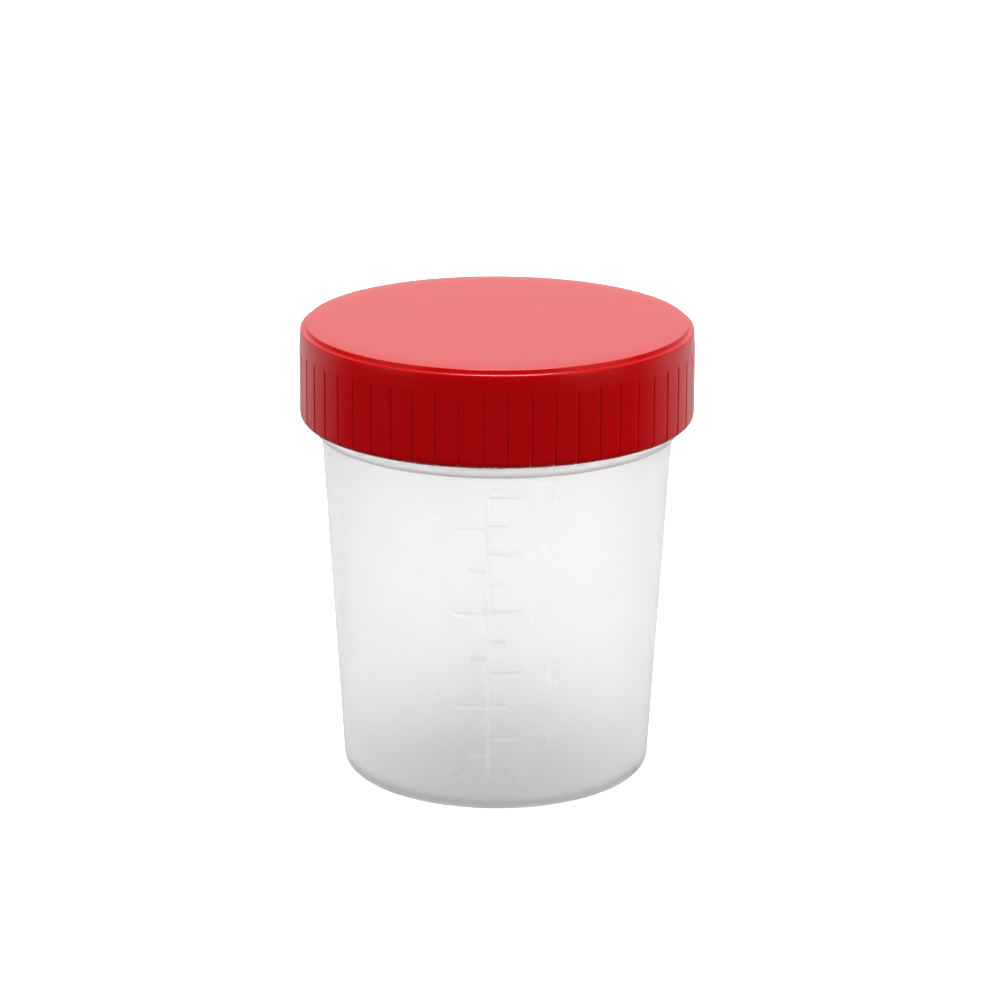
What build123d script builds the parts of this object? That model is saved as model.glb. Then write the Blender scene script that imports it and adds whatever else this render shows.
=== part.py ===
"""Specimen container: a tapered moulded cup with raised graduations and a ribbed screw cap.

Millimetres. The origin is the centre of the ring that the cup stands on, +Z points up the
axis, and the graduated side of the cup faces -Y. Two mouldings, so two solids:

  cup        tapered wall, recessed base, collar, plain neck and a volume scale in raised lines
  screw_cap  flat panel on a stepped shoulder, gripped skirt, and a plug ring that seals the mouth

The thread on the neck and in the cap is left plain: the cap's bore clears its crests.
"""
from build123d import *
import math
import os

# ------------------------------------------------------------------ driving sizes: cup
rim_level = 71.55          # top of the neck above the table
base_radius = 24.25        # outer wall carried down to the table
wall_draft = 3.465         # degrees that the wall leans outwards
cup_wall = 0.95            # wall of the tapered body
floor_thickness = 0.9
base_recess = 0.3          # how far the underside is hollowed above the table
foot_width = 2.2           # flat ring that the cup stands on
base_corner = 2.3          # outer rounding between base and wall
neck_length = 14.65        # collar top to rim
neck_wall = 1.05
collar_height = 1.55
collar_overhang = 1.1      # how far the collar stands out of the wall
collar_break = 0.8         # bevel under the collar's outer edge
inner_corner = 1.6         # between floor and wall inside

# ------------------------------------------------------------------ driving sizes: volume scale
line_width = 0.5           # width of a raised line on the wall
line_relief = 0.2          # how far a line stands out of the wall
line_root = 0.3            # how far its root runs into the wall
major_tick = 5.0           # length of a numbered division
minor_tick = 2.6           # length of a division between numbers
scale_start_volume = 8.8   # ml at the foot of the upright line
scale_top_margin = 1.6     # upright line ends this far under the collar
ml_major = (20, 40, 60, 80, 100)
ml_minor = (30, 50, 70, 90)
oz_major = (1, 2, 3)
oz_minor = (0.5, 1.5, 2.5)
ML_PER_OZ = 29.574

# ------------------------------------------------------------------ driving sizes: screw cap
panel_thickness = 1.2
shoulder_drop = 0.65       # the flat panel stands this far above the shoulder
shoulder_width = 0.75      # shoulder from the panel's foot to the edge of the skirt
panel_slope = 0.1          # the step's wall leans in by this much
panel_break = 0.2          # bevel round the panel
shoulder_break = 0.6       # bevel on the outer edge of the shoulder
skirt_wall = 2.05
skirt_lean = 0.2           # the smooth band is this much smaller at its top
skirt_foot_break = 1.2     # bevel inwards at the skirt's lower edge
smooth_band = 3.1          # plain band between the shoulder and the grooves
groove_count = 53
groove_width = 0.5
groove_depth = 0.25
groove_start_angle = -1.0  # degrees from the front to the first groove
plug_length = 2.5
plug_wall = 0.9

# ------------------------------------------------------------------ fits between cup and cap
thread_height = 0.9        # room that the thread's ridges need on the neck
thread_clearance = 0.35    # thread crest to the other part's wall
seat_gap = 0.05            # cap's underside above the rim
skirt_gap = 0.5            # skirt's lower edge above the collar
plug_clearance = 0.1       # plug ring inside the mouth

# ------------------------------------------------------------------ sizes that follow
wall_slope = math.tan(math.radians(wall_draft))
floor_level = base_recess + floor_thickness
collar_top = rim_level - neck_length
collar_bottom = collar_top - collar_height
FRONT = -90.0              # degrees about +Z at which the scale's upright line stands


def wall_radius(level):
    """Outer radius of the tapered wall at a height above the table."""
    return base_radius + wall_slope * level


def inner_radius(level):
    """Radius of the cup's inside at a height above the table."""
    return wall_radius(level) - cup_wall


def level_of(volume_ml):
    """Height that a liquid volume reaches: the taper's frustum volume, solved for its top."""
    floor_radius = inner_radius(floor_level)
    cubed = floor_radius**3 + 3 * wall_slope * volume_ml * 1000 / math.pi
    return floor_level + (cubed ** (1 / 3) - floor_radius) / wall_slope


mouth_radius = inner_radius(collar_bottom)
neck_radius = mouth_radius + neck_wall
collar_radius = wall_radius(collar_bottom) + collar_overhang
cap_bore = neck_radius + thread_height + thread_clearance
skirt_radius = cap_bore + skirt_wall
skirt_foot = collar_top + skirt_gap
panel_underside = rim_level + seat_gap
cap_top = panel_underside + panel_thickness
shoulder_level = cap_top - shoulder_drop
groove_top = shoulder_level - smooth_band


def turned(corners):
    """A solid of revolution round +Z. Its section's corners come once round, as (radius, height) for
    a sharp corner or (radius, height, fillet or chamfer, size) for a finished one."""
    section = make_face(Polyline(*[(radius, 0, height) for radius, height, *_ in corners], close=True))
    for radius, height, *finish in corners:
        if finish:
            finish_corner, size = finish
            corner = section.vertices().sort_by_distance((radius, 0, height))[0]
            section = finish_corner(corner, size)
    return revolve(section, Axis.Z)


def make_tick(level, length):
    """One division of the scale: a raised line along the wall, running right for a positive length."""
    sweep = math.degrees(abs(length) / wall_radius(level))
    bottom, top = level - line_width / 2, level + line_width / 2
    inner, outer = wall_radius(level) - line_root, wall_radius(level) + line_relief
    section = make_face(Polyline((inner, 0, bottom), (outer, 0, bottom), (outer, 0, top),
                                 (inner, 0, top), close=True))
    start = FRONT if length > 0 else FRONT - sweep
    return Rot(0, 0, start) * revolve(section, Axis.Z, sweep)


def make_scale():
    """The upright line at the front, with millilitre divisions to its right and ounces to its left."""
    foot, head = level_of(scale_start_volume), collar_bottom - scale_top_margin
    side = [(wall_radius(foot) - line_root, foot), (wall_radius(foot) + line_relief, foot),
            (wall_radius(head) + line_relief, head), (wall_radius(head) - line_root, head)]
    upright = extrude(make_face(Polyline(*[(0, -radius, level) for radius, level in side], close=True)),
                      line_width / 2, dir=(1, 0, 0), both=True)
    divisions = [(volume, major_tick) for volume in ml_major]
    divisions += [(volume, minor_tick) for volume in ml_minor]
    divisions += [(ounces * ML_PER_OZ, -major_tick) for ounces in oz_major]
    divisions += [(ounces * ML_PER_OZ, -minor_tick) for ounces in oz_minor]
    ticks = [make_tick(level_of(volume), length) for volume, length in divisions
             if level_of(volume) + line_width < head]
    return [upright] + ticks


def make_cup():
    """Tapered body, foot ring, collar and neck turned as one, with the scale raised on its front."""
    foot_inside = base_radius - base_corner - foot_width
    body = turned([
        (0, base_recess),
        (foot_inside - base_recess, base_recess),
        (foot_inside, 0),
        (base_radius, 0, fillet, base_corner),
        (wall_radius(collar_bottom), collar_bottom),
        (collar_radius, collar_bottom, chamfer, collar_break),
        (collar_radius, collar_top),
        (neck_radius, collar_top),
        (neck_radius, rim_level),
        (mouth_radius, rim_level),
        (mouth_radius, collar_bottom),
        (inner_radius(floor_level), floor_level, chamfer, inner_corner),
        (0, floor_level),
    ])
    return body + make_scale()


def make_groove_cutters():
    """Upright slots round the skirt, each running out along a slope at its top end."""
    floor_radius = skirt_radius - groove_depth
    clear_radius = skirt_radius + groove_depth
    below = skirt_foot - groove_depth
    side = Polyline((floor_radius, 0, below), (clear_radius, 0, below),
                    (clear_radius, 0, groove_top + groove_depth), (floor_radius, 0, groove_top - groove_depth),
                    close=True)
    cutter = extrude(make_face(side), groove_width / 2, both=True)
    first = FRONT + groove_start_angle
    return [Rot(0, 0, first + 360 * index / groove_count) * cutter for index in range(groove_count)]


def make_screw_cap():
    """Panel, shoulder, skirt and plug ring turned as one, with the grip grooves cut round the skirt."""
    shoulder_radius = skirt_radius - skirt_lean
    panel_foot = shoulder_radius - shoulder_width
    plug_radius = mouth_radius - plug_clearance
    plug_end = panel_underside - plug_length
    plug_bore = plug_radius - plug_wall
    body = turned([
        (0, cap_top),
        (panel_foot - panel_slope, cap_top, chamfer, panel_break),
        (panel_foot, shoulder_level),
        (shoulder_radius, shoulder_level, chamfer, shoulder_break),
        (skirt_radius, groove_top),
        (skirt_radius, skirt_foot, chamfer, skirt_foot_break),
        (cap_bore, skirt_foot),
        (cap_bore, panel_underside),
        (plug_radius, panel_underside),
        (plug_radius, plug_end),
        (plug_bore, plug_end),
        (plug_bore, panel_underside),
        (0, panel_underside),
    ])
    return body - make_groove_cutters()


def main():
    os.makedirs("parts", exist_ok=True)
    export_step(make_cup(), "parts/cup.step")
    export_step(make_screw_cap(), "parts/screw_cap.step")


main()
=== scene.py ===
"""Looks of a specimen container: a milky polypropylene cup with a raised volume scale under a red
screw cap with a grooved grip. Sizes are in millimetres, levels are heights above the table, and
angles round the axis run from the front (-Y) towards +X. Meshes are written in metres."""
import math

import bpy
import numpy as np
from mathutils import Matrix, Vector


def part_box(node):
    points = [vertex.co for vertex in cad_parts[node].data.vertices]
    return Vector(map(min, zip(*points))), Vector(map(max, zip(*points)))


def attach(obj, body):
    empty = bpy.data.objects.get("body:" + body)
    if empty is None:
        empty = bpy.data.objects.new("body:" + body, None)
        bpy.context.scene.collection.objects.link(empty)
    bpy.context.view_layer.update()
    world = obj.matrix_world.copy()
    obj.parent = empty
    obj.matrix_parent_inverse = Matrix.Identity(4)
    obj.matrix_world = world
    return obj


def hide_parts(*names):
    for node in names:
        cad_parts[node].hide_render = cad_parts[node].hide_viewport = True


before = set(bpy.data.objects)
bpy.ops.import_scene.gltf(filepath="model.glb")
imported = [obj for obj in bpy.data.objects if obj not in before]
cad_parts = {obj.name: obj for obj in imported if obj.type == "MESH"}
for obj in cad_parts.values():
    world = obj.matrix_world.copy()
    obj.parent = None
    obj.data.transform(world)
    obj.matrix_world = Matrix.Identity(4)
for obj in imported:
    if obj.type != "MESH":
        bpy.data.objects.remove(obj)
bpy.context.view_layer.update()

MM = 0.001
cup_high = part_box("cup")[1] / MM
cap_low, cap_high = [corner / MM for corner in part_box("screw_cap")]

# ------------------------------------------------------------------ sizes of the cup
rim_level = round(cup_high.z, 2)
collar_radius = round(cup_high.x, 2)
base_radius = 24.25        # outer wall carried down to the table
wall_slope = math.tan(math.radians(3.465))
cup_wall = 0.95
base_recess = 0.3
floor_thickness = 0.9
floor_level = base_recess + floor_thickness
foot_width = 2.2
base_corner = 2.3          # rounding between base and wall, outside
inner_corner = 2.7         # rounding between floor and wall, inside
neck_wall = 1.05
neck_length = 14.65
collar_height = 1.55
collar_top = rim_level - neck_length
collar_bottom = collar_top - collar_height
collar_round = 0.85        # under the collar's outer edge
collar_top_round = 0.6
mouth_round = 2.0          # where the neck's bore meets the taper
edge_round = 0.3           # rim and root of the neck
foot_round = 0.2           # both edges of the hollow under the base

# ------------------------------------------------------------------ sizes of the screw cap
cap_top = round(cap_high.z, 2)
skirt_foot = round(cap_low.z, 2)
skirt_radius = round(cap_high.x, 1)
panel_thickness = 1.2
panel_underside = cap_top - panel_thickness
shoulder_drop = 0.65
shoulder_level = cap_top - shoulder_drop
skirt_lean = 0.2           # the smooth band is this much smaller at its top
shoulder_radius = skirt_radius - skirt_lean
shoulder_width = 0.75
panel_foot = shoulder_radius - shoulder_width
panel_slope = 0.1
panel_edge = panel_foot - panel_slope
skirt_wall = 2.05
cap_bore = skirt_radius - skirt_wall
smooth_band = 3.1
groove_top = shoulder_level - smooth_band
skirt_foot_round = 1.35
shoulder_round = 0.3
groove_count = 53
groove_width = 0.55
groove_depth = 0.15
groove_start = math.radians(-1.0)      # the front to the first groove
plug_length = 2.5
plug_wall = 0.9
plug_clearance = 0.1

# ------------------------------------------------------------------ thread between them
thread_pitch = 4.0
thread_start = collar_top + 3.2        # middle of the neck's ridge where it begins
thread_turns = 1.4
thread_height = 0.9
thread_root = 1.9          # width of a ridge where it leaves the wall
thread_crest = 0.7
thread_fade = math.radians(25)         # turn in which a ridge's ends run out

# ------------------------------------------------------------------ volume scale
line_width = 0.5
line_relief = 0.2
figure_relief = 0.11
line_edge = 0.3            # width of a raised line's sloping side
major_tick, minor_tick = 5.0, 2.6
ML_PER_OZ = 29.574
ml_major, ml_minor = (20, 40, 60, 80, 100), (30, 50, 70, 90)
oz_major, oz_minor = (1, 2, 3), (0.5, 1.5, 2.5)
scale_start_volume = 8.8
scale_top_margin = 1.6
numeral_height = 3.2
numeral_stroke = 0.42
numeral_advance = 2.75     # from one figure of a number to the next
letter_height = 1.9
l_height = 1.35            # of the l, in heights of the other letters
letter_advance = 2.3
letter_level = 5.2         # foot of the letters
ml_numeral_place = 9.3     # middle of the numbers, along the wall from the upright line
oz_numeral_place = -7.8
oz_letter_place = -5.0     # middle of oz, and of the m and the l by themselves
m_letter_place = 4.9
l_letter_place = 7.1

# ------------------------------------------------------------------ mesh steps
fine_step = 0.17           # rows and columns of the cup, in and round the marks
coarse_row, coarse_column = 1.2, 1.7
upright_columns = 0.6      # fine columns reach this far to each side of the upright line
oz_columns = (1.9, 8.9)    # and from here to there along the wall, to its left
ml_columns = (2.1, 13.4)   # and to its right
marks_end = 14.0           # no mark lies farther along the wall
row_reach = 0.35           # fine rows reach this far past a number
near_line = 0.45           # and this far from a line without one
near_letter = 0.4
groove_columns = (-1.3, -1.0, -0.85, -0.6, -0.3, 0, 0.3, 0.6, 0.85, 1.0, 1.3)      # in half widths
land_columns = (0.33, 0.67)            # between two grooves, as shares of the land
groove_end_step, skirt_step = 0.08, 1.5


def wall_radius(level):
    """Outer radius of the tapered wall."""
    return base_radius + wall_slope * level


def level_of(volume_ml):
    """Level that a volume reaches: the frustum volume of the taper, solved for its top."""
    floor_radius = wall_radius(floor_level) - cup_wall
    cubed = floor_radius**3 + 3 * wall_slope * volume_ml * 1000 / math.pi
    return floor_level + (cubed ** (1 / 3) - floor_radius) / wall_slope


mouth_radius = wall_radius(collar_bottom) - cup_wall
neck_radius = mouth_radius + neck_wall
plug_radius = mouth_radius - plug_clearance


# ------------------------------------------------------------------ grids and sections
def soft_step(value):
    """0 below 0, 1 above 1, and 3v^2 - 2v^3 between, for whole arrays."""
    value = np.clip(value, 0.0, 1.0)
    return value * value * (3 - 2 * value)


def graded(start, stop, zones, fine, coarse):
    """Places from start to stop, a fine step apart inside the zones and a coarse step outside: the
    running sum of steps per millimetre, read back at whole numbers."""
    fine_line = np.linspace(start, stop, 8000)
    inside = np.zeros(fine_line.size, bool)
    for low, high in zones:
        inside |= (fine_line > low) & (fine_line < high)
    density = 1 / np.where(inside, fine, coarse)
    count = np.concatenate([[0], np.cumsum((density[1:] + density[:-1]) / 2 * np.diff(fine_line))])
    steps = max(int(round(count[-1])), 1)
    return np.interp(np.linspace(0, count[-1], steps + 1), count, fine_line)


def rounded_section(corners):
    """Rows of (radius, height) along a section. Each corner is (radius, height, rounding, run): an arc
    of that rounding tangent to both sides, then a straight run cut into that many even steps, or
    at those heights. An arc's points are start + rounding (sin a along + (1 - cos a) across)."""
    points = np.array([corner[:2] for corner in corners], float)
    heading = np.diff(points, axis=0)
    heading /= np.linalg.norm(heading, axis=1)[:, None]
    rows, leave = [points[:1]], points[0]
    for index in range(1, len(corners)):
        last = index == len(corners) - 1
        rounding = 0 if last else corners[index][2]
        come, go = heading[index - 1], heading[index - (1 if last else 0)]
        turn = math.atan2(come[0] * go[1] - come[1] * go[0], come @ go)
        reach = rounding * math.tan(abs(turn) / 2)
        arrive = points[index] - come * reach
        run = corners[index - 1][3]
        if isinstance(run, int):
            share = np.arange(1, run) / run
        else:
            share = (np.asarray(run) - leave[1]) / (arrive[1] - leave[1])
            share = share[(share > 0.002) & (share < 0.998)]
        rows.append(leave + share[:, None] * (arrive - leave))
        steps = max(int(abs(turn) / 0.26), 1) if rounding else 0
        angles = np.linspace(0, abs(turn), steps + 1)
        across = np.array([-come[1], come[0]]) * math.copysign(1, turn)
        along, aside = np.sin(angles)[:, None], (1 - np.cos(angles))[:, None]
        rows.append(arrive + rounding * (along * come + aside * across))
        leave = rows[-1][-1]
    return np.concatenate(rows)


def turned_mesh(name, radius, height, angle):
    """A closed mesh from arrays of rows by columns: radius, height and the angle of each column. The
    first and last row lie on the axis and become one point each."""
    rows, columns = radius.shape
    place = np.stack([radius * np.sin(angle), -radius * np.cos(angle), height], axis=-1) * MM
    middle = place[1:-1].reshape(-1, 3)
    verts = np.concatenate([middle, place[:1, 0], place[-1:, 0]])
    corner = np.arange(middle.shape[0]).reshape(rows - 2, columns)
    beside = np.roll(corner, -1, axis=1)
    quads = np.stack([corner[:-1], beside[:-1], beside[1:], corner[1:]], axis=-1).reshape(-1, 4)
    first, final = middle.shape[0], middle.shape[0] + 1
    fan_in = np.stack([np.full(columns, first), beside[0], corner[0]], axis=-1)
    fan_out = np.stack([np.full(columns, final), corner[-1], beside[-1]], axis=-1)
    mesh = bpy.data.meshes.new(name)
    mesh.from_pydata(verts.tolist(), [], quads.tolist() + fan_in.tolist() + fan_out.tolist())
    mesh.polygons.foreach_set("use_smooth", np.ones(len(mesh.polygons), bool))
    mesh.update()
    piece = bpy.data.objects.new(name, mesh)
    bpy.context.scene.collection.objects.link(piece)
    return piece


def thread_ridge(angle, height, start):
    """Height of a helical ridge, 0 to 1: its middle climbs one pitch a turn from the start level, its
    sides slope from root to crest width, and it fades in and out at its ends."""
    ridge = np.zeros(np.broadcast(angle, height).shape)
    for turn in range(math.ceil(thread_turns)):
        travel = np.mod(angle, 2 * math.pi) + 2 * math.pi * turn
        middle = start + thread_pitch * travel / (2 * math.pi)
        side = (thread_root / 2 - abs(height - middle)) / (thread_root - thread_crest) * 2
        to_go = 2 * math.pi * thread_turns - travel
        ends = soft_step(travel / thread_fade) * soft_step(to_go / thread_fade)
        ridge = np.maximum(ridge, soft_step(side) * ends)
    return ridge


# ------------------------------------------------------------------ raised figures of the scale
def bow(across, up, half_width, half_height, start, stop):
    """Points on an elliptical arc, from start to stop in degrees."""
    turn = np.radians(np.linspace(start, stop, max(int(abs(stop - start) / 15), 2) + 1))
    return np.stack([across + half_width * np.cos(turn), up + half_height * np.sin(turn)], axis=-1)


def stroke(*points):
    """Points joined by straight pieces."""
    return np.array(points, float)


# Strokes of each figure in a box one unit high, centred across
FIGURES = {
    "0": [bow(0, 0.5, 0.32, 0.5, 0, 360)],
    "1": [stroke((-0.17, 0.8), (0.04, 1), (0.04, 0))],
    "2": [np.concatenate([bow(0, 0.72, 0.31, 0.28, 160, -35), stroke((-0.32, 0), (0.34, 0))])],
    "3": [bow(0, 0.74, 0.28, 0.26, 150, -90), bow(0, 0.25, 0.32, 0.25, 90, -150)],
    "4": [stroke((0.16, 0), (0.16, 1), (-0.34, 0.28), (0.36, 0.28))],
    "6": [bow(0, 0.31, 0.32, 0.31, 0, 360), bow(0.33, 0.31, 0.65, 0.69, 180, 108)],
    "8": [bow(0, 0.74, 0.28, 0.26, 0, 360), bow(0, 0.25, 0.32, 0.25, 0, 360)],
    "o": [bow(0, 0.5, 0.46, 0.5, 0, 360)],
    "z": [stroke((-0.4, 1), (0.4, 1), (-0.42, 0), (0.44, 0))],
    "m": [stroke((-0.62, 0), (-0.62, 1)),
          np.concatenate([bow(-0.31, 0.66, 0.31, 0.34, 180, 0), stroke((0, 0))]),
          np.concatenate([bow(0.31, 0.66, 0.31, 0.34, 180, 0), stroke((0.62, 0))])],
    "l": [stroke((0, 0), (0, l_height))],
}


def distance_to_strokes(across, up, strokes):
    """Least distance from each point of the wall to the strokes: to each straight piece a to b it is
    the distance to a + t (b - a), with t held between 0 and 1."""
    nearest = np.full(across.shape, 1e3)
    for points in strokes:
        for a, b in zip(points[:-1], points[1:]):
            along = b - a
            share = ((across - a[0]) * along[0] + (up - a[1]) * along[1]) / max(along @ along, 1e-9)
            share = np.clip(share, 0, 1)
            gap = np.hypot(across - a[0] - share * along[0], up - a[1] - share * along[1])
            nearest = np.minimum(nearest, gap)
    return nearest


def text_strokes(text, middle, foot, size, advance):
    """Strokes of a word on the wall: figures side by side about its middle, standing on foot."""
    first = middle - advance * (len(text) - 1) / 2
    return [points * size + (first + advance * index, foot)
            for index, figure in enumerate(text) for points in FIGURES[figure]]


def scale_marks():
    """Every mark of the scale as (strokes, half width, relief): upright line, divisions and figures."""
    foot, head = level_of(scale_start_volume), collar_bottom - scale_top_margin
    lines = [stroke((0, foot), (0, head))]
    for volume, length in ([(v, major_tick) for v in ml_major] + [(v, minor_tick) for v in ml_minor]
                           + [(v * ML_PER_OZ, -major_tick) for v in oz_major]
                           + [(v * ML_PER_OZ, -minor_tick) for v in oz_minor]):
        lines.append(stroke((0, level_of(volume)), (length, level_of(volume))))
    figures = []
    numbers = [(str(volume), ml_numeral_place, level_of(volume)) for volume in ml_major]
    numbers += [(str(ounces), oz_numeral_place, level_of(ounces * ML_PER_OZ)) for ounces in oz_major]
    for text, middle, level in numbers:
        figures += text_strokes(text, middle, level - numeral_height / 2, numeral_height, numeral_advance)
    for text, middle in (("oz", oz_letter_place), ("m", m_letter_place), ("l", l_letter_place)):
        figures += text_strokes(text, middle, letter_level, letter_height, letter_advance)
    return [(lines, line_width / 2, line_relief), (figures, numeral_stroke / 2, figure_relief)]


def scale_relief(across, up):
    """Height of the raised scale over the wall: full inside a mark, sloping off over its edge."""
    relief = np.zeros(across.shape)
    for strokes, half_width, proud in scale_marks():
        inside = (half_width - distance_to_strokes(across, up, strokes)) / line_edge + 0.5
        relief = np.maximum(relief, proud * soft_step(inside))
    return relief


# ------------------------------------------------------------------ the two mouldings
def make_cup():
    """The cup: a section turned round the axis, with the scale raised on the wall and a helical ridge
    on the neck, both added to the radius."""
    marks = [level_of(v) for v in ml_minor] + [level_of(v * ML_PER_OZ) for v in oz_minor]
    tall = [level_of(v) for v in ml_major] + [level_of(v * ML_PER_OZ) for v in oz_major]
    reach = numeral_height / 2 + row_reach
    zones = [(level - near_line, level + near_line) for level in marks]
    zones += [(level - reach, level + reach) for level in tall]
    zones += [(letter_level - near_letter, letter_level + letter_height * l_height + near_letter)]
    foot_inside = base_radius - base_corner - foot_width
    section = rounded_section([
        (0, base_recess, 0, 6),
        (foot_inside - base_recess, base_recess, foot_round, 1),
        (foot_inside, 0, foot_round, 2),
        (base_radius, 0, base_corner, graded(1, collar_bottom, zones, fine_step, coarse_row)),
        (wall_radius(collar_bottom), collar_bottom, foot_round, 1),
        (collar_radius, collar_bottom, collar_round, 1),
        (collar_radius, collar_top, collar_top_round, 1),
        (neck_radius, collar_top, edge_round, 48),
        (neck_radius, rim_level, edge_round, 1),
        (mouth_radius, rim_level, edge_round, 8),
        (mouth_radius, collar_bottom, mouth_round, 22),
        (wall_radius(floor_level) - cup_wall, floor_level, inner_corner, 10),
        (0, floor_level, 0, 1),
    ])
    radius, height = section[:, :1], section[:, 1:]
    low, high = wall_radius(letter_level), wall_radius(collar_bottom)
    fine_columns = [(-oz_columns[1] / low, -oz_columns[0] / high),
                    (-upright_columns / low, upright_columns / low),
                    (ml_columns[0] / high, ml_columns[1] / low)]
    columns = graded(-math.pi, math.pi, fine_columns, fine_step / low, coarse_column / low)[:-1]
    outside = np.arange(len(section))[:, None] < np.argmax(section[:, 1])
    on_wall = outside & (height > letter_level - 1) & (height < collar_bottom - 0.4)
    across = wall_radius(height) * columns
    relief = np.zeros(across.shape)
    band = np.flatnonzero(on_wall[:, 0])
    near = np.flatnonzero(abs(columns) < marks_end / low)
    patch = np.ix_(band, near)
    relief[patch] = scale_relief(across[patch], np.broadcast_to(height, across.shape)[patch])
    on_neck = outside & (height > collar_top) & (height < rim_level - 1)
    thread = thread_height * thread_ridge(columns, height, thread_start) * on_neck
    return turned_mesh("cup_body", radius + relief + thread, height + 0 * columns, columns)


def make_screw_cap():
    """The cap: a section turned round the axis, with soft grooves in the skirt, depth times
    (1 - (distance / half width)^2)^2, and a helical ridge inside the bore."""
    plug_end = panel_underside - plug_length
    groove_ends = [(groove_top - 0.7, groove_top + 0.1)]
    skirt_rows = graded(skirt_foot, groove_top, groove_ends, groove_end_step, skirt_step)
    section = rounded_section([
        (0, panel_underside, 0, 6),
        (plug_radius - plug_wall, panel_underside, 0.3, 2),
        (plug_radius - plug_wall, plug_end, 0.25, 1),
        (plug_radius, plug_end, 0.35, 2),
        (plug_radius, panel_underside, 0.15, 1),
        (cap_bore, panel_underside, 0.3, 44),
        (cap_bore, skirt_foot, 0.15, 1),
        (skirt_radius, skirt_foot, skirt_foot_round, skirt_rows),
        (skirt_radius, groove_top, 0, 3),
        (shoulder_radius, shoulder_level, shoulder_round, 1),
        (panel_foot, shoulder_level, 0.12, 1),
        (panel_edge, cap_top, 0.16, 9),
        (0, cap_top, 0, 1),
    ])
    radius, height = section[:, :1], section[:, 1:]
    half = groove_width / 2
    pitch = 2 * math.pi / groove_count
    spread = np.array(groove_columns) * half / skirt_radius
    lands = np.array(land_columns) * (pitch - 2 * spread[-1]) + spread[-1]
    within = np.concatenate([spread, lands])
    columns = (groove_start + pitch * np.arange(groove_count)[:, None] + within).ravel()
    across = np.tile(within, groove_count) * skirt_radius
    off = np.hypot(across, np.maximum(height - (groove_top - half), 0)) / half
    dip = groove_depth * np.clip(1 - off * off, 0, 1) ** 2
    foot_row = np.argmax(section[:, 0] > skirt_radius - 2.0)
    on_skirt = np.arange(len(section))[:, None] > foot_row
    on_skirt = on_skirt & (height < groove_top + 0.05) & (radius > cap_bore)
    grooved = radius - dip * on_skirt
    in_bore = (abs(radius - cap_bore) < 0.01) & (height > skirt_foot + 0.4)
    thread = thread_height * thread_ridge(columns, height, thread_start - thread_pitch / 2) * in_bore
    return turned_mesh("grip_cap", grooved - thread, height + 0 * columns, columns)


# ------------------------------------------------------------------ finishes
def new_material(name):
    """A node material and its tree, with nothing in it yet."""
    material = bpy.data.materials.new(name)
    material.use_nodes = True
    material.node_tree.nodes.clear()
    return material, material.node_tree


def node(tree, kind, settings=None, **inputs):
    """A node of that kind with its settings and its inputs, each a value or another node's socket."""
    made = tree.nodes.new(kind)
    for key, value in (settings or {}).items():
        setattr(made, key, value)
    for key, value in inputs.items():
        socket = made.inputs[key.replace("_", " ")]
        if isinstance(value, bpy.types.NodeSocket):
            tree.links.new(value, socket)
        else:
            socket.default_value = value
    return made


def noise(tree, scale, detail=2.0):
    """Noise in object coordinates, features about 1/scale metres across."""
    place = node(tree, "ShaderNodeTexCoord").outputs["Object"]
    return node(tree, "ShaderNodeTexNoise", Vector=place, Scale=scale, Detail=detail).outputs["Fac"]


def spread_value(tree, value, low, high, start=0.0, end=1.0, settings=None):
    """The value carried from start..end to low..high, and held there outside it."""
    return node(tree, "ShaderNodeMapRange", settings, Value=value, From_Min=start, From_Max=end,
                To_Min=low, To_Max=high).outputs["Result"]


def math_node(tree, operation, first, second):
    """The result of a sum, product or comparison of two sockets or values."""
    made = node(tree, "ShaderNodeMath", {"operation": operation})
    for socket, value in zip(made.inputs, (first, second)):
        if isinstance(value, bpy.types.NodeSocket):
            tree.links.new(value, socket)
        else:
            socket.default_value = value
    return made.outputs[0]


def rise(tree, value, start, end):
    """0 up to the start and 1 from the end on, both in millimetres, for a value in metres."""
    return spread_value(tree, value, 0.0, 1.0, start * MM, end * MM)


def mixed_colour(tree, factor, first, second):
    """The first colour at 0 and the second at 1."""
    mix = node(tree, "ShaderNodeMix", {"data_type": "RGBA"}, Factor=factor)
    mix.inputs[6].default_value = (*first, 1)
    mix.inputs[7].default_value = (*second, 1)
    return mix.outputs[2]


def mixed_shader(tree, factor, first, second):
    """The first shader at 0 and the second at 1."""
    mix = node(tree, "ShaderNodeMixShader", Fac=factor)
    tree.links.new(first.outputs[0], mix.inputs[1])
    tree.links.new(second.outputs[0], mix.inputs[2])
    return mix


def moulded_bump(tree, coarse_scale, fine_scale, coarse_mm, fine_mm):
    """Two bumps in a row: slow waviness left by shrinkage, and the fine grain of the mould."""
    wave = node(tree, "ShaderNodeBump", Height=noise(tree, coarse_scale), Strength=1.0,
                Distance=coarse_mm * MM)
    return node(tree, "ShaderNodeBump", Height=noise(tree, fine_scale, 4.0), Strength=1.0,
                Distance=fine_mm * MM, Normal=wave.outputs["Normal"]).outputs["Normal"]


def red_plastic():
    """Deep red satin polypropylene, a little uneven in colour and gloss."""
    material, tree = new_material("red_polypropylene")
    tint = mixed_colour(tree, noise(tree, 90, 3.0), (0.435, 0.0008, 0.0022), (0.405, 0.0005, 0.0015))
    shader = node(tree, "ShaderNodeBsdfPrincipled", Base_Color=tint,
                  Roughness=spread_value(tree, noise(tree, 700, 4.0), 0.18, 0.24),
                  Normal=moulded_bump(tree, 60, 2600, 0.03, 0.003))
    tree.links.new(shader.outputs[0], node(tree, "ShaderNodeOutputMaterial").inputs["Surface"])
    return material


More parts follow.
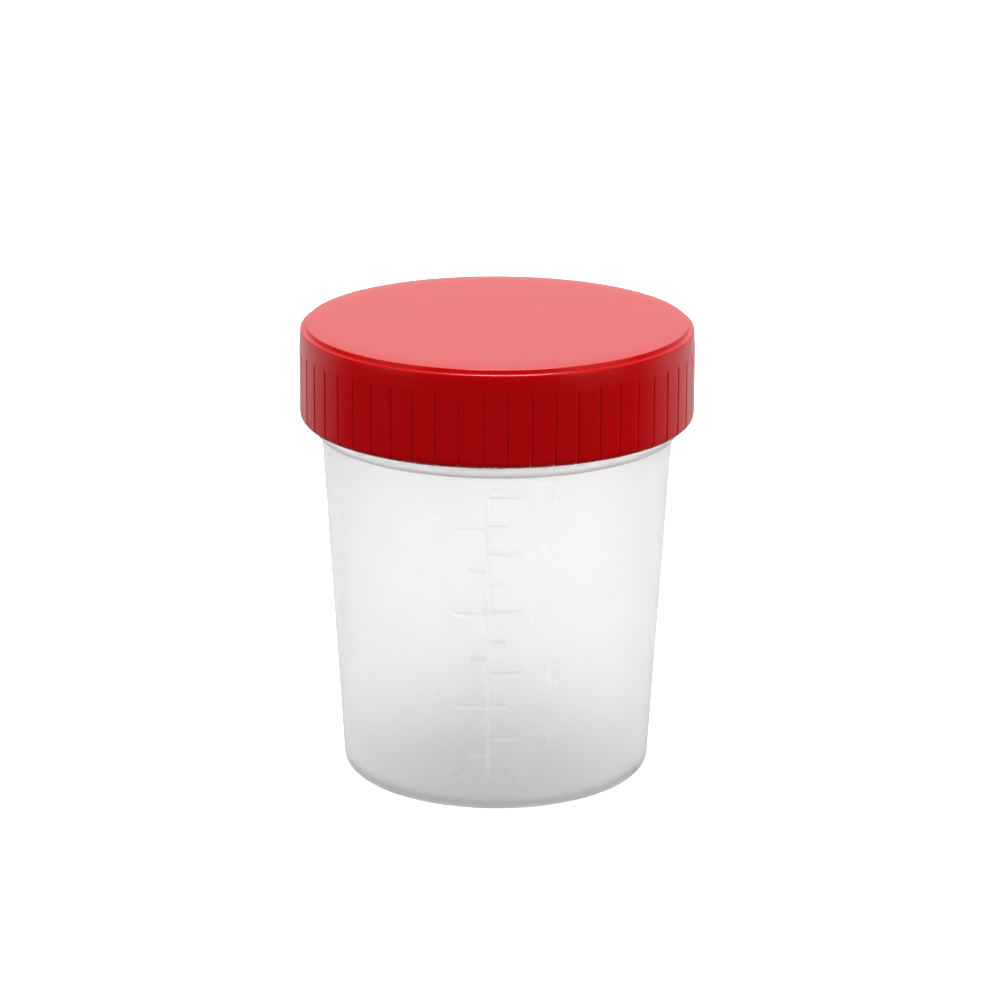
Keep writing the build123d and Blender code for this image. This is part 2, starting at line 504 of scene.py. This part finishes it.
def milky_plastic():
    """Natural polypropylene with a satin surface: partly clear and partly hazy, hazier at the base,
    darker in the lower half of the collar and on the neck as painted shade, and whiter in the raised
    marks."""
    material, tree = new_material("milky_polypropylene")
    coordinates = node(tree, "ShaderNodeTexCoord").outputs["Object"]
    place = node(tree, "ShaderNodeSeparateXYZ", Vector=coordinates).outputs
    normal = moulded_bump(tree, 90, 1800, 0.05, 0.005)

    # Painted shade: the base colour is darkened in the lower half of the collar, where shade falls under
    # its rounded edge, and on the neck, to keep it from washing out in bright light.
    low_collar_shade = math_node(tree, "MULTIPLY",
                           rise(tree, place["Z"], collar_bottom - 0.3, collar_bottom + 0.2),
                           rise(tree, place["Z"], collar_top - 0.4, collar_top - 0.8))
    neck = rise(tree, place["Z"], collar_top + 0.2, collar_top + 1.2)
    painted_shade = math_node(tree, "MAXIMUM", low_collar_shade, neck)
    clear = node(tree, "ShaderNodeBsdfPrincipled", Normal=normal,
                 Base_Color=mixed_colour(tree, painted_shade, (0.968, 0.973, 0.974), (0.79, 0.80, 0.80)),
                 Roughness=spread_value(tree, noise(tree, 500, 4.0), 0.50, 0.57))
    clear.inputs["IOR"].default_value = 1.49
    clear.inputs["Transmission Weight"].default_value = 0.9
    haze = node(tree, "ShaderNodeBsdfTranslucent", Color=(0.962, 0.968, 0.970, 1), Normal=normal)
    cloudy = spread_value(tree, place["Z"], 0.5, 0.12, start=1.0 * MM, end=5.0 * MM)

    squares = [math_node(tree, "MULTIPLY", place[axis], place[axis]) for axis in "XY"]
    from_axis = math_node(tree, "SQRT", math_node(tree, "ADD", *squares), 0.0)
    lean = math_node(tree, "MULTIPLY", place["Z"], wall_slope)
    proud = math_node(tree, "SUBTRACT", from_axis, lean)
    raised = spread_value(tree, proud, 0.0, 0.28, start=(base_radius + 0.04) * MM,
                          end=(base_radius + line_relief) * MM)
    on_wall = rise(tree, place["Z"], collar_bottom - 0.1, collar_bottom - 0.5)
    white = node(tree, "ShaderNodeBsdfDiffuse", Color=(1.0, 1.0, 1.0, 1), Normal=normal)

    surface = mixed_shader(tree, math_node(tree, "MULTIPLY", raised, on_wall),
                           mixed_shader(tree, cloudy, clear, haze), white)
    within = node(tree, "ShaderNodeVolumeAbsorption", Color=(0.0, 0.0, 0.0, 1), Density=18.0)
    output = node(tree, "ShaderNodeOutputMaterial")
    tree.links.new(surface.outputs[0], output.inputs["Surface"])
    tree.links.new(within.outputs[0], output.inputs["Volume"])
    return material


def by_ray(tree, seen, passed, bounced):
    """The first value for the camera's own view, the second for light that has passed through the
    cup's wall, and the third for light bounced off the outside of a piece."""
    path = node(tree, "ShaderNodeLightPath").outputs
    through = math_node(tree, "GREATER_THAN", path["Transmission Depth"], 0.5)
    off = math_node(tree, "MAXIMUM", path["Is Glossy Ray"], path["Is Diffuse Ray"])
    outside = node(tree, "ShaderNodeMix", Factor=off, A=seen, B=bounced).outputs["Result"]
    return node(tree, "ShaderNodeMix", Factor=through, A=outside, B=passed).outputs["Result"]


def pale_floor():
    """White table to the camera. To light that has passed through the cup it is painted grey, a painted
    contact shadow darkest round the foot and a little to its left. To light bounced off the outside it
    is painted dark, darkest in front, a painted dark reflection and shade, so the grip keeps its deep
    red."""
    material, tree = new_material("pale_floor")
    place = node(tree, "ShaderNodeTexCoord").outputs["Object"]
    away = node(tree, "ShaderNodeSeparateXYZ", Vector=place).outputs["Y"]
    # Painted dark reflection and shade: the floor's colour for light bounced off the outside, darkest in
    # front.
    mirrored = spread_value(tree, away, 0.02, 0.37, start=0.0, end=0.20)
    # Painted contact shadow: the floor's colour for light through the cup, grey near the foot, centred a
    # little left of the axis so the cup's left side comes out darker.
    reach = node(tree, "ShaderNodeVectorMath", {"operation": "DISTANCE"}, Vector=place)
    reach.inputs[1].default_value = (-0.04, 0, 0)
    painted_contact_shadow = spread_value(tree, reach.outputs["Value"], 0.455, 0.81, start=0.02, end=0.35,
                          settings={"interpolation_type": "SMOOTHSTEP"})
    pale = node(tree, "ShaderNodeBsdfDiffuse", Color=by_ray(tree, 0.95, painted_contact_shadow, mirrored))
    lit = node(tree, "ShaderNodeEmission", Color=(1, 1, 1, 1), Strength=by_ray(tree, 0.5, 0.0, 0.0))
    both = node(tree, "ShaderNodeAddShader")
    tree.links.new(pale.outputs[0], both.inputs[0])
    tree.links.new(lit.outputs[0], both.inputs[1])
    tree.links.new(both.outputs[0], node(tree, "ShaderNodeOutputMaterial").inputs["Surface"])
    return material


# ------------------------------------------------------------------ camera, floor and light
def make_camera():
    """A long lens looking down at the container, turned a little off the scale's upright line."""
    azimuth, elevation, roll = math.radians(2.8), math.radians(16.7), math.radians(0.2)
    distance, aim_level, aim_right = 650.0, 43.56, 0.52
    level = math.cos(elevation)
    back = Vector((math.sin(azimuth) * level, -math.cos(azimuth) * level, math.sin(elevation)))
    right = Vector((math.cos(azimuth), math.sin(azimuth), 0))
    data = bpy.data.cameras.new("camera")
    data.lens, data.sensor_width = 147.7, 36.0
    data.clip_start, data.clip_end = 0.01, 50.0
    camera = bpy.data.objects.new("camera", data)
    aim = Vector((0, 0, aim_level)) + right * aim_right
    turned = back.to_track_quat("Z", "Y").to_matrix().to_4x4() @ Matrix.Rotation(roll, 4, "Z")
    camera.matrix_world = Matrix.Translation((aim + back * distance) * MM) @ turned
    bpy.context.scene.collection.objects.link(camera)
    bpy.context.scene.camera = camera


def make_floor():
    """A wide floor under the container, level with its standing ring."""
    half = 4.0
    corners = [(-half, -half, 0), (half, -half, 0), (half, half, 0), (-half, half, 0)]
    mesh = bpy.data.meshes.new("floor")
    mesh.from_pydata(corners, [], [(0, 1, 2, 3)])
    floor = bpy.data.objects.new("floor", mesh)
    bpy.context.scene.collection.objects.link(floor)
    mesh.materials.append(pale_floor())


def area_light(name, place, size, power):
    """A square soft light at a place in metres, pointed at the middle of the container."""
    data = bpy.data.lights.new(name, "AREA")
    data.shape, data.size, data.energy = "SQUARE", size, power
    lamp = bpy.data.objects.new(name, data)
    place = Vector(place)
    back = place - Vector((0, 0, 0.045))
    lamp.matrix_world = Matrix.Translation(place) @ back.to_track_quat("Z", "Y").to_matrix().to_4x4()
    bpy.context.scene.collection.objects.link(lamp)
    return lamp


def make_lights():
    """White surroundings, dimmer in front than behind for light that has passed through the cup or
    bounced off the outside. One broad light stands above and one at each side, all three kept out of
    glossy reflections, and a small one glints only in those."""
    world = bpy.data.worlds.new("surroundings")
    bpy.context.scene.world = world
    world.use_nodes = True
    world.cycles.sampling_method = "NONE"      # the light's kind is only known along a whole path
    tree = world.node_tree
    tree.nodes.clear()
    direction = node(tree, "ShaderNodeTexCoord").outputs["Generated"]
    backward = node(tree, "ShaderNodeSeparateXYZ", Vector=direction).outputs["Y"]
    mirrored = spread_value(tree, backward, 0.08, 0.86, start=0.3, end=0.9)
    passed = spread_value(tree, backward, 0.75, 1.14, start=-0.2, end=0.9)
    shade = node(tree, "ShaderNodeBackground", Color=(1, 1, 1, 1),
                 Strength=by_ray(tree, 1.4, passed, mirrored))
    tree.links.new(shade.outputs[0], node(tree, "ShaderNodeOutputWorld").inputs["Surface"])
    area_light("top_light", (0.0, 0.15, 1.0), 0.55, 13.7).visible_glossy = False
    edge = area_light("edge_light", (0.0, 0.45, 0.9), 0.2, 5.6)
    edge.visible_diffuse = edge.visible_transmission = False
    for name, side, power in (("left_light", -1, 11.7), ("right_light", 1, 12.7)):
        area_light(name, (0.89 * side, -0.45, 0.28), 0.8, power).visible_glossy = False


def main():
    """Camera, stage and lights, then the two mouldings in the place of their solids."""
    bpy.context.scene.view_settings.view_transform = "Standard"
    make_camera()
    make_floor()
    make_lights()
    cup = make_cup()
    cup.data.materials.append(milky_plastic())
    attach(cup, "container")
    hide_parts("cup")
    cap = make_screw_cap()
    cap.data.materials.append(red_plastic())
    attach(cap, "closure")
    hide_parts("screw_cap")


main()
